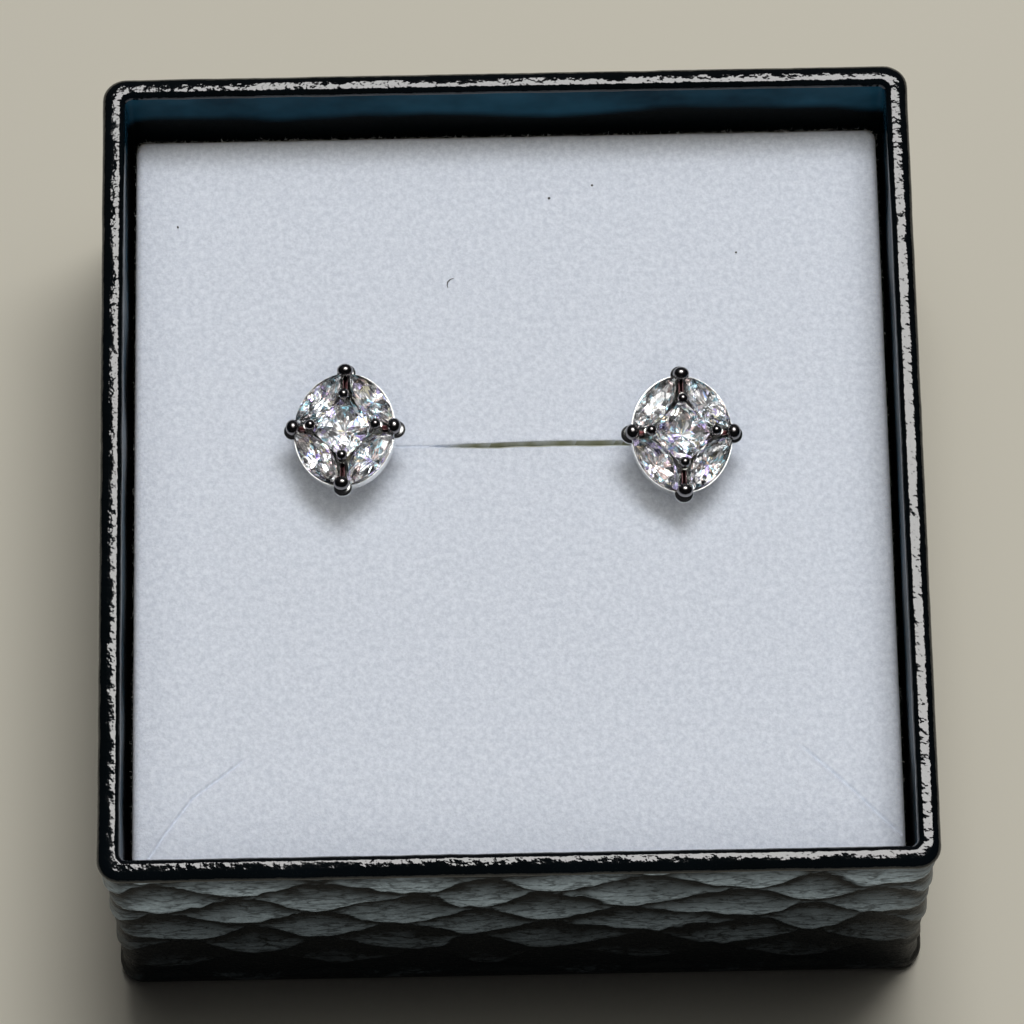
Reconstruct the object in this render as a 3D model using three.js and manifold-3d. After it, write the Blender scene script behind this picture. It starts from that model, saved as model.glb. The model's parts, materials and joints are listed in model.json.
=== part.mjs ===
// A pair of stud earrings pushed into the foam pad of an open gift box.
// Each stud is a square stone with four pointed stones round it, held by beaded prongs.
// Millimetres. +Z is up, +X is to the right and +Y is to the back.
// The origin is in the middle of the tray's underside.

import * as THREE from "three";
import { ConvexGeometry } from "three/addons/geometries/ConvexGeometry.js";
import { mergeVertices } from "three/addons/utils/BufferGeometryUtils.js";
import Module from "manifold-3d";

// Tray: the base of the gift box
const trayWidth = 52;
const trayDepth = 54.2;
const trayHeight = 23;
const trayWall = 1.5;
const trayFloor = 1.6;
const trayCornerRadius = 1.5;
const trayInnerCornerRadius = 0.4;
const trayEdgeRound = 0.5;
const traySteps = 3;
const trayInnerSteps = 2;

// Pad: flocked foam that fills the tray up to some way below the rim
const padRecess = 6;
const padClearance = 0.3;
const padCornerRadius = 0.8;
const padEdgeRound = 0.6;
const padSteps = 4;
const padWeb = 5;

// Slits in the pad's top
const slitDepth = 3.5;
const postSlitWidth = 0.24;
const postSlitPlace = 3.5;
const cornerSlitWidth = 0.16;

// The corner slits' inner ends, as shares of their inset from the pad's side and front, and
// each slit's angle in degrees
const cornerSlitInset = 8;
const cornerSlits = [
  { side: -1, fromSide: 0.94, fromFront: 1.02, angle: 46 },
  { side: 1, fromSide: 0.85, fromFront: 1.075, angle: 44 },
];

// Where each stud's post enters the pad: its side, its place across the slit as a share of the
// post's radius, and how the stud turns and leans, in degrees
const postSpacing = 20.84;
const postRowMiddle = 0.1;
const studPlaces = [
  { name: "left", side: -1, acrossSlit: -0.05, turn: -2.1, leanFront: 0.5, leanRight: -5.1 },
  { name: "right", side: 1, acrossSlit: -0.78, turn: 0.6, leanFront: 7.2, leanRight: 6 },
];

// Cluster of stones, seen from above: its outline is slightly longer than wide
const clusterHalfWidth = 3.2;
const clusterHalfDepth = 3.77;
const stoneGap = 0.16;

// Centre stone: square, with its corners towards the inner prongs
const centreHalfSide = 1.5;
const centreCornerReach = 1.9;
const centreGirdle = 2.8;
const centreCrown = 0.42;
const centrePavilion = 1.5;
const centreTableShare = 0.62;

// Pointed stones between the outer prongs
const marquiseGirdle = 2.62;
const marquiseCrown = 0.4;
const marquisePavilion = 1.25;
const marquiseTableShare = 0.5;
const marquiseTipOffset = 0.36;
const marquiseTilt = 8;
const marquiseCurveSteps = 6;
const innerCurveSpread = 0.1;
const girdleThickness = 0.1;

// Facets of every stone, as shares of its outline, crown and pavilion
const crownFacetHeight = 0.62;
const pavilionFacetReach = 0.56;
const pavilionFacetDepth = 0.5;
const culetReach = 0.04;

// Basket: the silver bowl below the stones, with its underside held off the pad
const basketLift = 0.75;
const basketHeight = 2.15;
const basketWall = 0.25;
const basketSeatDrop = 0.45;
const basketFloor = 0.4;
const basketOverhang = 0.05;
const basketFootRadius = 1.7;
const basketSides = 32;

// The bowl's sections from above the foot to below the rim, as shares of its rim and height
const basketSections = [
  { reach: 0.65, height: 0.1 },
  { reach: 0.84, height: 0.34 },
  { reach: 0.97, height: 0.66 },
];

// Prongs, their beads and the bridges between the inner and outer ones
const outerBeadRadius = 0.45;
const outerBeadStretch = 1.15;
const outerBeadHeight = 3.0;
const outerProngRadius = 0.18;
const clawRadius = 0.55;
const clawFootRadius = 0.14;
const clawTop = 2.05;
const clawFootHeight = 0.34;
const clawFootReach = 0.84;
const clawOverhang = 0.1;
const beadOverhang = 0.04;
const clawSides = 10;
const innerBeadRadius = 0.36;
const innerBeadReach = 2.06;
const innerBeadHeight = 3.42;
const innerProngRadius = 0.22;
const innerProngReach = 2.3;
const bridgeWidth = 0.24;
const bridgeTop = 2.7;
const bridgeDepth = 0.5;
const beadSides = 12;
const beadRings = 7;
const prongSides = 8;

// Post and the back that slides on it
const postRadius = 0.45;
const postLength = 10;
const postTipLength = 0.5;
const postTipRadius = 0.2;
const postSides = 12;
const nutClearance = 0.3;
const nutHeight = 2.6;
const nutRadius = 2.3;
const nutBarrelRadius = 1.5;
const nutFlange = 0.5;
const nutEdgeRound = 0.14;
const nutSides = 20;

const foam = new THREE.MeshStandardMaterial({ color: 0xd4d5db, roughness: 1.0, metalness: 0.0 });
const leatherPaper = new THREE.MeshStandardMaterial({ color: 0x0b0d11, roughness: 0.3, metalness: 0.0 });
const silver = new THREE.MeshStandardMaterial({ color: 0xd9d8d4, roughness: 0.12, metalness: 1.0 });
const crystal = new THREE.MeshStandardMaterial({ color: 0xe4e9ee, roughness: 0.02, metalness: 0.0 });

const wasm = await Module();
wasm.setup();

const up = new THREE.Vector3(0, 0, 1);
const padTop = trayHeight - padRecess;
const padBottom = trayFloor + padClearance;
const padWidth = trayWidth - 2 * (trayWall + padClearance);
const padDepth = trayDepth - 2 * (trayWall + padClearance);
const mergeDistance = 1e-5;
const radians = THREE.MathUtils.degToRad;

// A closed geometry as a solid that can be joined and cut
function solidOf(geometry) {
  const bare = geometry.clone();
  bare.deleteAttribute("normal");
  bare.deleteAttribute("uv");
  const merged = mergeVertices(bare, mergeDistance);
  const corners = merged.index.array;
  const kept = [];
  for (let i = 0; i < corners.length; i += 3) {
    const [a, b, c] = [corners[i], corners[i + 1], corners[i + 2]];
    if (a !== b && b !== c && c !== a) kept.push(a, b, c);
  }
  const vertProperties = new Float32Array(merged.attributes.position.array);
  const triVerts = new Uint32Array(kept);
  return new wasm.Manifold(new wasm.Mesh({ numProp: 3, vertProperties, triVerts }));
}

function geometryOf(solid) {
  const mesh = solid.getMesh();
  const geometry = new THREE.BufferGeometry();
  geometry.setAttribute("position", new THREE.BufferAttribute(mesh.vertProperties, 3));
  geometry.setIndex(new THREE.BufferAttribute(mesh.triVerts, 1));
  geometry.computeVertexNormals();
  return geometry;
}

function joined(geometries) {
  return geometries.map(solidOf).reduce((whole, piece) => whole.add(piece));
}

// A closed form turned about Z, from rows of radius and height
function turnedForm(profile, sides) {
  const points = profile.map(([radius, height]) => new THREE.Vector2(radius, height));
  return new THREE.LatheGeometry(points, sides).rotateX(Math.PI / 2);
}

function named(name, geometry, material) {
  const mesh = new THREE.Mesh(geometry, material);
  mesh.name = name;
  return mesh;
}

function roundedRectangle(width, depth, radius) {
  const [x, y] = [width / 2 - radius, depth / 2 - radius];
  const shape = new THREE.Shape();
  shape.absarc(x, y, radius, 0, Math.PI / 2);
  shape.absarc(-x, y, radius, Math.PI / 2, Math.PI);
  shape.absarc(-x, -y, radius, Math.PI, 1.5 * Math.PI);
  shape.absarc(x, -y, radius, 1.5 * Math.PI, 2 * Math.PI);
  return shape;
}

// A slab with rounded corners and edges, its underside at the given height
function slab(width, depth, height, cornerRadius, edgeRound, bottom, steps) {
  const geometry = new THREE.ExtrudeGeometry(roundedRectangle(width, depth, cornerRadius), {
    depth: height - 2 * edgeRound,
    curveSegments: steps,
    bevelEnabled: edgeRound > 0,
    bevelThickness: edgeRound,
    bevelSize: edgeRound,
    bevelOffset: -edgeRound,
    bevelSegments: steps,
  });
  return geometry.translate(0, 0, bottom + edgeRound);
}

// A round bar between two points, with a radius at each end
function bar(start, end, startRadius, endRadius, sides) {
  const along = new THREE.Vector3().subVectors(end, start);
  const geometry = new THREE.CylinderGeometry(endRadius, startRadius, along.length(), sides);
  geometry.translate(0, along.length() / 2, 0);
  const turn = new THREE.Quaternion().setFromUnitVectors(new THREE.Vector3(0, 1, 0), along.normalize());
  return geometry.applyQuaternion(turn).translate(start.x, start.y, start.z);
}

function studMatrix(place) {
  const x = postRowMiddle + (place.side * postSpacing) / 2;
  const y = postSlitPlace + place.acrossSlit * postRadius;
  const turn = new THREE.Euler(radians(place.leanFront), radians(place.leanRight), radians(place.turn));
  return new THREE.Matrix4().makeRotationFromEuler(turn).setPosition(x, y, padTop);
}

function trayGeometry() {
  const block = slab(trayWidth, trayDepth, trayHeight, trayCornerRadius, trayEdgeRound, 0, traySteps);
  const [width, depth] = [trayWidth - 2 * trayWall, trayDepth - 2 * trayWall];
  const inside = slab(width, depth, trayHeight, trayInnerCornerRadius, 0, trayFloor, trayInnerSteps);
  return geometryOf(solidOf(block).subtract(solidOf(inside)));
}

// The post's hole and the wider pocket below the web, both in line with the leaning post
function postPassage(place) {
  const below = new THREE.Vector3(0, 0, -trayHeight);
  const web = new THREE.Vector3(0, 0, -padWeb);
  const hole = bar(below, up, postRadius + nutClearance, postRadius + nutClearance, postSides);
  const pocketRadius = nutRadius + nutClearance;
  const pocket = bar(below, web, pocketRadius, pocketRadius, nutSides);
  return joined([hole, pocket].map((geometry) => geometry.applyMatrix4(studMatrix(place))));
}

function postSlit() {
  const blade = new THREE.BoxGeometry(postSpacing, postSlitWidth, 2 * slitDepth);
  return blade.translate(postRowMiddle, postSlitPlace, padTop);
}

// A slit from its inner end out past the pad's corner
function cornerSlit(slit) {
  const fromSide = slit.fromSide * cornerSlitInset;
  const fromFront = slit.fromFront * cornerSlitInset;
  const reach = fromSide + fromFront;
  const blade = new THREE.BoxGeometry(reach, cornerSlitWidth, 2 * slitDepth);
  const heading = slit.side < 0 ? 180 + slit.angle : -slit.angle;
  blade.translate(reach / 2, 0, 0).rotateZ(radians(heading));
  return blade.translate(slit.side * (padWidth / 2 - fromSide), fromFront - padDepth / 2, padTop);
}

function padGeometry() {
  const height = padTop - padBottom;
  const block = slab(padWidth, padDepth, height, padCornerRadius, padEdgeRound, padBottom, padSteps);
  const slits = [postSlit(), ...cornerSlits.map(cornerSlit)];
  const cuts = [...slits.map(solidOf), ...studPlaces.map(postPassage)];
  return geometryOf(cuts.reduce((pad, cut) => pad.subtract(cut), solidOf(block)));
}

// A cut stone: the hull of its table, crown, girdle and pavilion points.
// The outline is given at the girdle, and lift says how high the girdle is over a point of it.
function cutStone(outline, centre, crown, pavilion, tableShare, lift) {
  const count = outline.length;
  const points = [];
  const ring = (share, height, betweenCorners) => {
    outline.forEach((corner, i) => {
      const next = outline[(i + 1) % count];
      const base = betweenCorners ? corner.clone().lerp(next, 0.5) : corner;
      const place = centre.clone().lerp(base, share);
      points.push(new THREE.Vector3(place.x, place.y, lift(place) + height));
    });
  };
  const crownShare = (1 + tableShare) / 2;
  ring(tableShare, crown, false);
  ring(crownShare, crown * crownFacetHeight, true);
  ring(1, girdleThickness / 2, false);
  ring(1, -girdleThickness / 2, false);
  ring(pavilionFacetReach, -pavilion * pavilionFacetDepth, true);
  ring(culetReach, -pavilion, false);
  return new ConvexGeometry(points);
}

// The square with its four corners cut where they meet the inner prongs
function centreStone() {
  const middle = new THREE.Vector2();
  const cut = Math.SQRT2 * centreHalfSide - centreCornerReach;
  const outline = [];
  for (let quarter = 0; quarter < 4; quarter += 1) {
    const turn = (quarter * Math.PI) / 2;
    const turned = (x, y, angle) => new THREE.Vector2(x, y).rotateAround(middle, angle);
    outline.push(
      turned(centreCornerReach, -cut, turn),
      turned(centreCornerReach, cut, turn),
      turned(centreHalfSide, 0, turn + Math.PI / 4),
    );
  }
  return cutStone(outline, middle, centreCrown, centrePavilion, centreTableShare, () => centreGirdle);
}

// One pointed stone, in the quarter given by the signs of x and y. Its inner edge is a curve
// whose middle, an eighth of its ends and three times its controls, lies beside the centre stone.
function marquiseStone(signX, signY) {
  const quarter = (x, y) => new THREE.Vector2(signX * x, signY * y);
  const start = Math.asin(marquiseTipOffset / clusterHalfDepth);
  const end = Math.acos(marquiseTipOffset / clusterHalfWidth);
  const outer = [];
  for (let step = 0; step <= marquiseCurveSteps; step += 1) {
    const angle = start + ((end - start) * step) / marquiseCurveSteps;
    outer.push(quarter(clusterHalfWidth * Math.cos(angle), clusterHalfDepth * Math.sin(angle)));
  }
  const [sideTip, endTip] = [outer[0], outer[marquiseCurveSteps]];
  const inward = quarter(Math.SQRT1_2, Math.SQRT1_2);
  const tipReach = sideTip.dot(inward) + endTip.dot(inward);
  const sideLine = ((8 * (centreHalfSide + stoneGap) - tipReach) / 6) * Math.SQRT2;
  const [near, far] = [innerCurveSpread, 1 - innerCurveSpread];
  const endControl = quarter(sideLine * near, sideLine * far);
  const sideControl = quarter(sideLine * far, sideLine * near);
  const innerCurve = new THREE.CubicBezierCurve(endTip, endControl, sideControl, sideTip);
  const inner = innerCurve.getPoints(marquiseCurveSteps);
  const outline = [...outer.slice(0, -1), ...inner.slice(0, -1)];
  const middle = marquiseCurveSteps / 2;
  const centre = outer[middle].clone().lerp(inner[middle], 0.5);
  const outward = centre.clone().normalize();
  const slope = Math.tan(radians(marquiseTilt));
  const lift = (place) => marquiseGirdle - slope * place.clone().sub(centre).dot(outward);
  return cutStone(outline, centre, marquiseCrown, marquisePavilion, marquiseTableShare, lift);
}

// The bowl, turned as a round one and then stretched to the cluster's length. Its rim is cut to
// a seat below the stones.
function basketBowl() {
  const rim = clusterHalfWidth + basketOverhang;
  const inside = basketHeight - basketFloor;
  const outer = basketSections.map(({ reach, height }) => [reach * rim, height * basketHeight]);
  const inner = basketSections.map(({ reach, height }) => [
    reach * rim - basketWall,
    basketFloor + height * inside,
  ]);
  const outerFoot = [[0, 0], [basketFootRadius, 0]];
  const seat = [[rim, basketHeight], [rim - basketWall, basketHeight - basketSeatDrop]];
  const innerFoot = [[basketFootRadius - basketWall, basketFloor], [0, basketFloor]];
  const profile = [...outerFoot, ...outer, ...seat, ...inner.reverse(), ...innerFoot];
  return turnedForm(profile, basketSides).scale(1, clusterHalfDepth / clusterHalfWidth, 1);
}

function bead(radius, stretch, sideways) {
  const geometry = new THREE.SphereGeometry(radius, beadSides, beadRings).rotateX(Math.PI / 2);
  return sideways ? geometry.scale(stretch, 1, 1) : geometry.scale(1, stretch, 1);
}

// The outer prong: a claw that widens from its foot on the bowl, then a neck up to the bead
function claw(foot, top, beadPlace) {
  const neck = top.clone().setZ(clawTop + clawRadius - outerProngRadius);
  return [
    bar(foot, top, clawFootRadius, clawRadius, clawSides),
    bar(top, neck, clawRadius, outerProngRadius, clawSides),
    bar(neck, beadPlace, outerProngRadius, outerProngRadius, clawSides),
  ];
}

// The prongs, beads and bridge on one side of the cluster
function prongs(direction) {
  const atEnd = direction.y !== 0;
  const outerReach = atEnd ? clusterHalfDepth : clusterHalfWidth;
  const at = (reach, height) => direction.clone().multiplyScalar(reach).setZ(height);
  const clawFoot = at(outerReach * clawFootReach, basketHeight * clawFootHeight);
  const outerBead = at(outerReach + beadOverhang, outerBeadHeight);
  const innerFoot = at(innerProngReach, basketFloor / 2);
  const innerTop = at(innerProngReach, innerBeadHeight - innerBeadRadius / 2);
  const innerBead = at(innerBeadReach, innerBeadHeight);
  const bridgeLength = outerReach - innerProngReach;
  const bridge = new THREE.BoxGeometry(bridgeLength, bridgeWidth, bridgeDepth);
  bridge.rotateZ(Math.atan2(direction.y, direction.x));
  const bridgeMiddle = at(innerProngReach + bridgeLength / 2, bridgeTop - bridgeDepth / 2);
  return [
    ...claw(clawFoot, at(outerReach + clawOverhang, clawTop), outerBead),
    bead(outerBeadRadius, outerBeadStretch, atEnd).translate(outerBead.x, outerBead.y, outerBead.z),
    bar(innerFoot, innerTop, innerProngRadius, innerProngRadius, prongSides),
    bead(innerBeadRadius, 1, atEnd).translate(innerBead.x, innerBead.y, innerBead.z),
    bridge.translate(bridgeMiddle.x, bridgeMiddle.y, bridgeMiddle.z),
  ];
}

// The post: a tapered tip, then a plain pin up into the bowl's floor
function post() {
  const top = basketLift + basketFloor / 2;
  const profile = [
    [0, -postLength],
    [postTipRadius, -postLength],
    [postRadius, postTipLength - postLength],
    [postRadius, top],
    [0, top],
  ];
  return turnedForm(profile, postSides);
}

// All the soldered silver of one stud
function settingGeometry() {
  const directions = [0, 1, 2, 3].map((quarter) => {
    const turn = (quarter * Math.PI) / 2;
    return new THREE.Vector3(Math.round(Math.cos(turn)), Math.round(Math.sin(turn)), 0);
  });
  const basket = [basketBowl(), ...directions.flatMap(prongs)];
  basket.forEach((geometry) => geometry.translate(0, 0, basketLift));
  return geometryOf(joined([...basket, post()]));
}

// The friction back: a flange and a barrel with a hole for the post
function nutGeometry() {
  const hole = postRadius + nutClearance;
  const profile = [
    [hole, 0],
    [nutBarrelRadius - nutEdgeRound, 0],
    [nutBarrelRadius, nutEdgeRound],
    [nutBarrelRadius, nutHeight - nutFlange],
    [nutRadius - nutEdgeRound, nutHeight - nutFlange],
    [nutRadius, nutHeight - nutFlange + nutEdgeRound],
    [nutRadius, nutHeight - nutEdgeRound],
    [nutRadius - nutEdgeRound, nutHeight],
    [hole, nutHeight],
    [hole, 0],
  ];
  const top = -padWeb - nutClearance;
  return turnedForm(profile, nutSides).translate(0, 0, top - nutHeight);
}

function stud(place) {
  const group = new THREE.Group();
  group.applyMatrix4(studMatrix(place));
  group.add(named(`${place.name}_setting`, settingGeometry(), silver));
  const centre = named(`${place.name}_centre_stone`, centreStone(), crystal);
  centre.position.z = basketLift;
  group.add(centre);
  const quarters = [[1, 1], [-1, 1], [-1, -1], [1, -1]];
  quarters.forEach(([signX, signY], i) => {
    const stone = named(`${place.name}_marquise_${i + 1}`, marquiseStone(signX, signY), crystal);
    stone.position.z = basketLift;
    group.add(stone);
  });
  group.add(named(`${place.name}_ear_nut`, nutGeometry(), silver));
  return group;
}

const studsInBox = new THREE.Group();
studsInBox.add(named("box_tray", trayGeometry(), leatherPaper));
studsInBox.add(named("pad", padGeometry(), foam));
studPlaces.forEach((place) => studsInBox.add(stud(place)));

export default studsInBox;
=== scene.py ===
"""Dresses a pair of stud earrings in the foam pad of an open gift box."""
import json
import math

import bmesh
import bpy
import numpy as np
from mathutils import Matrix, Vector

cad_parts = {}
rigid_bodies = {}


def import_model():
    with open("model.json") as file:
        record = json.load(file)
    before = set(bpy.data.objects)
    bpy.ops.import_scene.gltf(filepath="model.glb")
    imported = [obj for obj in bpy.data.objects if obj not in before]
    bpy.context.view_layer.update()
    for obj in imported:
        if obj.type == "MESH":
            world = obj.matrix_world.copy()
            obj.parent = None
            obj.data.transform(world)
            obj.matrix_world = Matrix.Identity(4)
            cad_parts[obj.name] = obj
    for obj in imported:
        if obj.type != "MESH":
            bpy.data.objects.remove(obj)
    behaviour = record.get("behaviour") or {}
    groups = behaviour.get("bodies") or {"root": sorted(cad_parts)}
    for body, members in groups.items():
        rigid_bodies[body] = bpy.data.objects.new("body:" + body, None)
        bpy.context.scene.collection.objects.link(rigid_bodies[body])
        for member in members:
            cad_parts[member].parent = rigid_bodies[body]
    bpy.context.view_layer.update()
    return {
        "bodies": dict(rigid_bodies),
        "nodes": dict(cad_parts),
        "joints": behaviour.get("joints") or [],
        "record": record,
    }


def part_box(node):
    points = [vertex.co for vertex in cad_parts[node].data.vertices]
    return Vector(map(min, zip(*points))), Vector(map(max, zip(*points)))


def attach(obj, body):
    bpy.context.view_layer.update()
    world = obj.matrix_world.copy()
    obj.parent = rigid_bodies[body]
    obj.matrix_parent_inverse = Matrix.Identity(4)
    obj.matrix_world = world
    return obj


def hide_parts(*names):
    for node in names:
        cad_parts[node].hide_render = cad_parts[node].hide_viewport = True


MM = 0.001
UP = np.array([0.0, 0.0, 1.0])

# Camera, fitted to the tray's rim, pad and foot in the photo
CAMERA_TARGET = Vector((-0.04, 5.2, 0.0)) * MM
CAMERA_DISTANCE = 383.0 * MM
CAMERA_ELEVATION = math.radians(69.5)
CAMERA_ROLL = math.radians(-1.052)
CAMERA_FOCAL_PIXELS = 5715
FRAME_PIXELS = 1024
SENSOR_WIDTH = 36.0

# Light: a small lamp overhead, behind the box and a little to the right, in a dim room. A soft glow
# fills the shadows without a reflection of its own, fills from the front reach the pad alone or the
# tray alone, and panels shine on the jewels. Each row is a name, a direction from the box, half
# angles across and along, a radiance and what it reaches.
LAMPS = (
    ("lamp", (0.13, 0.37, 1.0), (15.5, 7.5), 11.6, "all"),
    ("glow", (0.15, 0.37, 1.0), (24, 24), 1.15, "matt"),
    ("pad_fill", (0.0, -0.35, 1.0), (34, 34), 0.98, "pad"),
    ("tray_fill", (0.0, -0.8, 0.8), (30, 30), 2.4, "tray"),
    ("top_panel", (0.1, 0.3, 1.0), (24, 24), 1.8, "jewels"),
    ("front_panel", (0.0, -0.9, 0.6), (30, 30), 0.6, "stones"),
    ("left_panel", (-1.0, 0.1, 0.75), (28, 28), 1.5, "stones"),
    ("right_panel", (1.0, 0.1, 0.75), (28, 28), 1.7, "stones"),
)
LAMP_DISTANCE = 600 * MM
LAMP_COLOUR = (1.0, 0.99, 0.975)
FILL_COLOUR = (1.0, 0.94, 0.82)
ROOM_FRONT = (0.012, 0.012, 0.013, 1.0)
ROOM_BACK = (0.05, 0.052, 0.058, 1.0)
FLOOR_COLOUR = (0.9, 0.86, 0.73, 1.0)
FLOOR_SIZE = 3000 * MM

# Tray skin, in mm
RIM_INNER_ROUND = 0.42
RIM_OUTER_ROUND = 0.62
TRAY_WALL = 1.5
TRAY_FLOOR = 1.6
TRAY_CORNER = 1.5
TRAY_INNER_CORNER = 0.4
TRAY_FOOT_ROUND = 0.5
TRAY_SIDE_STEPS = 172
TRAY_CORNER_STEPS = 8
TRAY_WALL_ROWS = 78
TRAY_INNER_ROWS = 20
TRAY_LIP_DEPTH = 1.5
TRAY_CAP_INSET = 3.0
SKIN_INSET = 0.02
EMBOSS_TOP = 0.45
EMBOSS_FOOT = 1.0
EMBOSS_DEPTH = 0.4
EMBOSS_TOP_FADE = 0.5
EMBOSS_FOOT_FADE = 0.8
# Painted shade on the outside wall: its colour dims from the higher height down to the floor share at the
# foot.
PAINTED_SHADE_LOW = 3.0
PAINTED_SHADE_HIGH = 21.0
PAINTED_SHADE_FLOOR = 0.08
LENS_COUNT = 21
LENS_PITCH = 3.1
LENS_PINCH = 0.92
LENS_DRIFT = 0.9
LENS_BULGE_POWER = 1.5
LENS_LOWER_EDGE = 0.8
CREASE_WAVE = 0.17
CREASE_WOBBLE = 0.1
RIM_WRINKLE = 0.05
INNER_WAVE = 0.12
# Where painted shade darkens the lining: its depth below the rim, its fade, and the wander of its wavy
# line.
LINING_BAND = 3.1
LINING_FADE = 1.2
LINING_WANDER = 0.7
LINING_WOBBLE = 0.4
TRAY_MATERIALS = {"foot": 0, "wall": 0, "rim": 1, "inside": 2}
# Outside paper colours, chosen by relief: the crease colour is painted shade and the lens colour a painted
# sheen.
SATIN_CREASE_SHADE = (0.0012, 0.0016, 0.0018, 1)
SATIN_MIDDLE = (0.1, 0.122, 0.132, 1)
SATIN_LENS_SHEEN = (0.34, 0.41, 0.44, 1)
RIM_DARK = (0.0010, 0.0018, 0.0022, 1)
RIM_PALE = (0.0014, 0.0026, 0.0036, 1)
# Lining colours: the blue is partly a painted reflection of the pad, and the deepest colour is painted
# shade towards the pad.
LINING_DARK = (0.002, 0.016, 0.028, 1)
LINING_PALE = (0.011, 0.052, 0.085, 1)
LINING_PAINTED_SHADE = (0.0008, 0.0015, 0.0018, 1)

# Pad, in mm
PAD_EDGE_ROUND = 0.55
PAD_CORNER = 0.7
PAD_CORNER_REACH = 3.2
PAD_STEP = 0.5
PAD_DETAIL_STEP = 0.085
PAD_FLOCK_WAVE = 0.05
PAD_WEB = 5.0
POST_SLIT_Y = 3.5
POST_SLIT_DEPTH = 2.6
POST_SLIT_LIP = 0.05
POST_SLIT_FALL = 0.13
POST_SLIT_HALF_WIDTH = 0.115
POST_SLIT_OPENS = (0.22, 0.42)
POST_SLIT_BARE = (0.25, 0.4)
POST_DIMPLE = 0.25
POST_DIMPLE_WIDTH = 0.35
CORNER_SLIT_LIP = 0.07
CORNER_SLIT_DEPTH = 0.25
CORNER_SLIT_WIDTH = 0.06
CORNER_SLITS = (
    ((-16.85, -17.2), (-18.55, -18.5), (-20.4, -19.9), (-22.2, -22.35), (-23.4, -24.2)),
    ((17.55, -16.85), (19.0, -18.2), (21.0, -20.1), (22.4, -21.6), (23.9, -23.1)),
)
FLOCK_DARK = (0.61, 0.67, 0.79, 1)
FLOCK_PALE = (0.78, 0.84, 0.96, 1)
# Dark olive foam in the slits: partly the foam's own colour, partly painted shade of the slit.
FOAM_AND_SLIT_SHADE_COLOUR = (0.34, 0.355, 0.25, 1)
FIBRE_COUNT = 9000
FIBRE_LENGTH = 0.24
FIBRE_RADIUS = 0.009
FIBRE_SCATTER = 0.08
FIBRE_TANGLE = 0.45
FIBRE_ROOT = 0.12
HAIR_ENDS = ((-3.52, 15.1), (-3.92, 14.4))
HAIR_BEND = 0.28
HAIR_RADIUS = 0.035
SPECKS = ((-21.44, 19.05), (5.57, 21.49), (2.75, 20.63), (14.81, 16.56))
SPECK_RADIUS = 0.09

# Studs, in mm
CLUSTER_HALF_WIDTH = 3.2
CLUSTER_HALF_DEPTH = 3.77
STONE_GAP = 0.03
CENTRE_HALF_SIDE = 1.54
CENTRE_CORNER_REACH = 1.9
CENTRE_GIRDLE = 2.8
CENTRE_CROWN = 0.42
CENTRE_PAVILION = 1.4
CENTRE_TABLE = 0.6
MARQUISE_GIRDLE = 2.62
MARQUISE_CROWN = 0.4
MARQUISE_PAVILION = 1.0
MARQUISE_TABLE = 0.4
MARQUISE_TIP_OFFSET = 0.3
MARQUISE_TILT = math.radians(8)
MARQUISE_STEPS = 8
GIRDLE = 0.1
FACET_SPREAD = 0.07
FACET_DEPTH = 0.11
# Painted flashes for the facets below the girdle: grey rows for dark glints, coloured rows for fire; each
# row is a colour and its share.
FACET_PAINTED_FLASHES = (
    ((1.0, 1.0, 1.0), 0.52),
    ((0.8, 0.84, 0.88), 0.16),
    ((0.5, 0.51, 0.53), 0.08),
    ((0.55, 0.84, 0.95), 0.07),
    ((0.7, 0.62, 0.97), 0.06),
    ((0.97, 0.92, 0.7), 0.04),
    ((0.86, 0.7, 0.66), 0.07),
)
BASKET_LIFT = 0.75
BASKET_HEIGHT = 2.4
BASKET_SEAT_DROP = 0.35
BASKET_WALL = 0.25
BASKET_FLOOR = 0.4
BASKET_OVERHANG = 0.05
BASKET_FOOT = 1.7
BASKET_SECTIONS = ((0.65, 0.09), (0.84, 0.305), (0.97, 0.59), (0.995, 0.8))
BASKET_SIDES = 96
OUTER_BEAD = 0.45
OUTER_BEAD_STRETCH = 1.15
OUTER_BEAD_HEIGHT = 3.0
OUTER_PRONG = 0.18
CLAW_RADIUS = 0.6
CLAW_FOOT = 0.14
CLAW_TOP = 2.25
CLAW_FOOT_HEIGHT = 0.73
CLAW_FOOT_REACH = 0.84
CLAW_OVERHANG = 0.1
BEAD_OVERHANG = 0.04
INNER_BEAD = 0.36
INNER_BEAD_REACH = 2.08
INNER_BEAD_HEIGHT = 3.4
INNER_PRONG = 0.22
INNER_PRONG_REACH = 2.3
BRIDGE_WIDTH = 0.3
BRIDGE_TOP = 2.72
BRIDGE_DEPTH = 0.5
BRIDGE_EDGE = 0.04
BRIDGE_GROOVE = 0.16
POST_RADIUS = 0.45
POST_LENGTH = 10.0
POST_TIP = 0.5
POST_TIP_RADIUS = 0.2
PASSAGE_CLEARANCE = 0.04
POCKET_RADIUS = 2.6
SILVER_TONES = ((0.80, 0.80, 0.78, 1), (0.9, 0.9, 0.88, 1))
# Darker copies of the silver: painted dark reflections on the beads, and a painted reddish-brown reflection
# on the bridge bars.
BEAD_PAINTED_DARK_TONES = ((0.22, 0.205, 0.205, 1), (0.3, 0.285, 0.285, 1))
GROOVE_PAINTED_REFLECTION_TONES = ((0.10, 0.05, 0.055, 1), (0.2, 0.12, 0.12, 1))
SILVER_ROUGHNESS = (0.12, 0.2)
BEAD_ROUGHNESS = (0.12, 0.18)
GROOVE_ROUGHNESS = (0.16, 0.24)
SHARP_ANGLE = math.radians(35)


# Meshes

def show(thing):
    bpy.context.scene.collection.objects.link(thing)


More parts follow.
